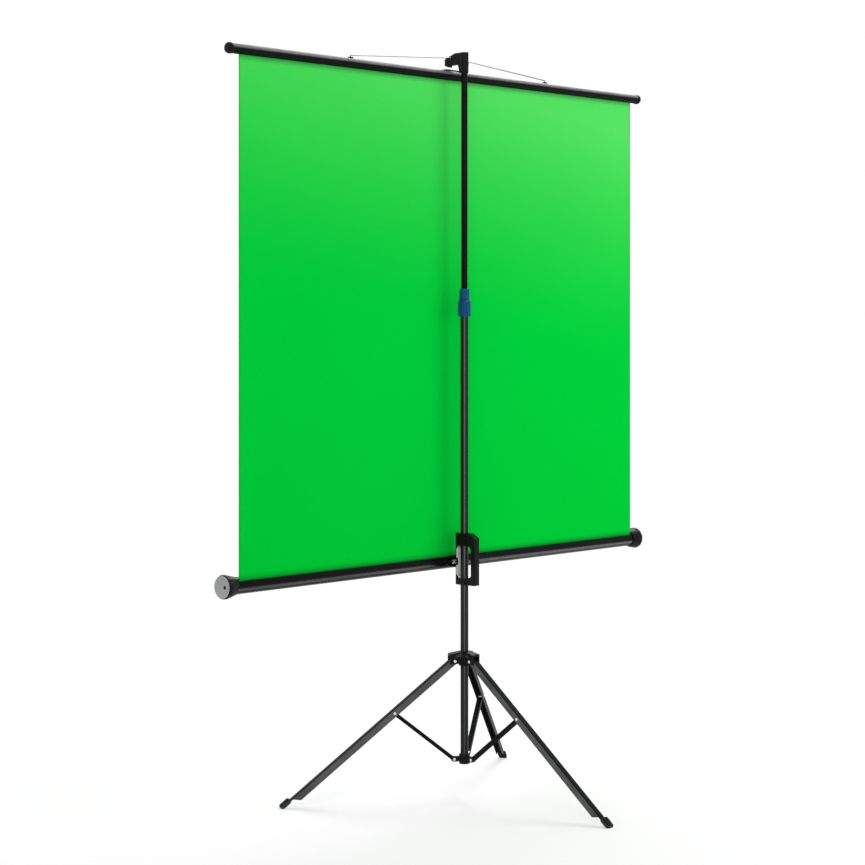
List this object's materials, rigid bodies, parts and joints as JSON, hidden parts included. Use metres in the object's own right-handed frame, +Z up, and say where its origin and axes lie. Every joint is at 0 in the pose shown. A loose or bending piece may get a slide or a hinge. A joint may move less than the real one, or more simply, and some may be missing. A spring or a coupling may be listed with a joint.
{
  "type": "tripod projection screen",
  "caption": "Roll-up fabric screen on a folding tripod: telescopic mast with twist lock, spring roller case on a sliding bracket, and a bar hung from a hook by a wire.",
  "frame": {"origin": "middle of the footprint of the open tripod and the screen, on the floor", "axes": "+Z up along the mast, +X along the screen, +Y from the mast towards the sheet"},
  "size_m": [1.9, 0.9098, 2.3585],
  "materials": {
    "black_metal": "satin",
    "zinc": "satin",
    "black_plastic": "satin",
    "blue_plastic": "satin",
    "grey_plastic": "matte",
    "black_rubber": "matte",
    "green_sheet": "matte",
    "roller_metal": "satin"
  },
  "bodies": {
    "stand": {"mast_tube": "black_metal", "foot_collar": "black_plastic", "collar_pins": "zinc", "lock_body": "blue_plastic", "screen_fabric": "green_sheet"},
    "strut_rear": {"strut_rear": "black_metal"},
    "leg_rear": {"leg_rear": "black_metal", "knee_pin_rear": "zinc", "foot_rear": "black_rubber"},
    "hub": {"leg_hub": "black_plastic", "hub_pins": "zinc"},
    "leg_right": {"leg_right": "black_metal", "knee_pin_right": "zinc", "foot_right": "black_rubber"},
    "leg_left": {"leg_left": "black_metal", "knee_pin_left": "zinc", "foot_left": "black_rubber"},
    "strut_right": {"strut_right": "black_metal"},
    "strut_left": {"strut_left": "black_metal"},
    "sleeve": {"lock_sleeve": "blue_plastic"},
    "extension": {"extension_tube": "black_metal", "extension_glide": "black_plastic", "top_hook": "black_plastic", "hook_screw": "zinc", "top_bar": "black_metal", "bar_cap_left": "black_plastic", "bar_cap_right": "black_plastic", "fabric_keder": "black_plastic", "hanger_wire": "zinc", "wire_clip_left": "black_plastic", "wire_clip_right": "black_plastic", "pull_grip": "black_plastic"},
    "carriage": {"bracket_frame": "black_plastic", "case_saddle": "black_plastic", "pivot_bolt": "zinc", "pivot_nut": "zinc", "rocker_pin": "black_plastic", "case_tube": "black_metal", "end_cap_left": "black_plastic", "end_cap_right": "black_plastic", "end_disc_left": "grey_plastic", "end_disc_right": "grey_plastic", "spring_shaft": "zinc", "spring_motor": "zinc"},
    "roller": {"roller_tube": "roller_metal", "fabric_wrap": "green_sheet", "roller_plug_left": "black_plastic", "roller_plug_right": "black_plastic"},
    "rocker": {"lock_rocker": "zinc"}
  },
  "joints": [
    {"name": "tripod_fold", "type": "hinge", "parent": "stand", "child": "strut_rear", "pos_m": [0, 0.10852, 0.12], "axis": [-1, 0, 0], "range_deg": [0, 50]},
    {"name": "knee_rear", "type": "hinge", "parent": "strut_rear", "child": "leg_rear", "pos_m": [0, -0.08713, 0.27563], "axis": [1, 0, 0], "range_deg": [0, 100]},
    {"name": "hub_pivot_rear", "type": "hinge", "parent": "leg_rear", "child": "hub", "pos_m": [0, 0.10852, 0.43126], "axis": [-1, 0, 0], "range_deg": [0, 50]},
    {"name": "hub_pivot_right", "type": "hinge", "parent": "hub", "child": "leg_right", "pos_m": [0.03118, 0.16252, 0.43126], "axis": [-0.5, 0.866, 0], "range_deg": [0, 50]},
    {"name": "knee_right", "type": "hinge", "parent": "leg_right", "child": "strut_right", "pos_m": [0.20062, 0.26035, 0.27563], "axis": [0.5, -0.866, 0], "range_deg": [0, 100]},
    {"name": "hub_pivot_left", "type": "hinge", "parent": "hub", "child": "leg_left", "pos_m": [-0.03118, 0.16252, 0.43126], "axis": [-0.5, -0.866, 0], "range_deg": [0, 50]},
    {"name": "knee_left", "type": "hinge", "parent": "leg_left", "child": "strut_left", "pos_m": [-0.20062, 0.26035, 0.27563], "axis": [0.5, 0.866, 0], "range_deg": [0, 100]},
    {"name": "lock_twist", "type": "hinge", "parent": "stand", "child": "sleeve", "pos_m": [0, 0.14452, 1.547], "axis": [0, 0, 1], "range_deg": [0, 120]},
    {"name": "mast_extension", "type": "slide", "parent": "stand", "child": "extension", "axis": [0, 0, 1], "range_m": [-0.66, 0], "deforming": ["screen_fabric"]},
    {"name": "case_slide", "type": "slide", "parent": "stand", "child": "carriage", "axis": [0, 0, 1], "range_m": [0, 0.6], "deforming": ["screen_fabric"]},
    {"name": "roller_spin", "type": "hinge", "parent": "carriage", "child": "roller", "pos_m": [0, 0.20707, 0.744], "axis": [1, 0, 0], "range_deg": [0, 2370]},
    {"name": "slide_lock", "type": "hinge", "parent": "carriage", "child": "rocker", "pos_m": [0, 0.16717, 0.744], "axis": [1, 0, 0], "range_deg": [-4, 4], "stiffness_Nm_per_rad": 1.5}
  ],
  "couplings": [
    {"joint": "knee_rear", "follows": "tripod_fold", "ratio": 2},
    {"joint": "hub_pivot_rear", "follows": "tripod_fold", "ratio": 1},
    {"joint": "hub_pivot_right", "follows": "tripod_fold", "ratio": 1},
    {"joint": "knee_right", "follows": "tripod_fold", "ratio": 2},
    {"joint": "hub_pivot_left", "follows": "tripod_fold", "ratio": 1},
    {"joint": "knee_left", "follows": "tripod_fold", "ratio": 2},
    {"joint": "roller_spin", "follows": "mast_extension", "rad_per_m": -62.5}
  ]
}
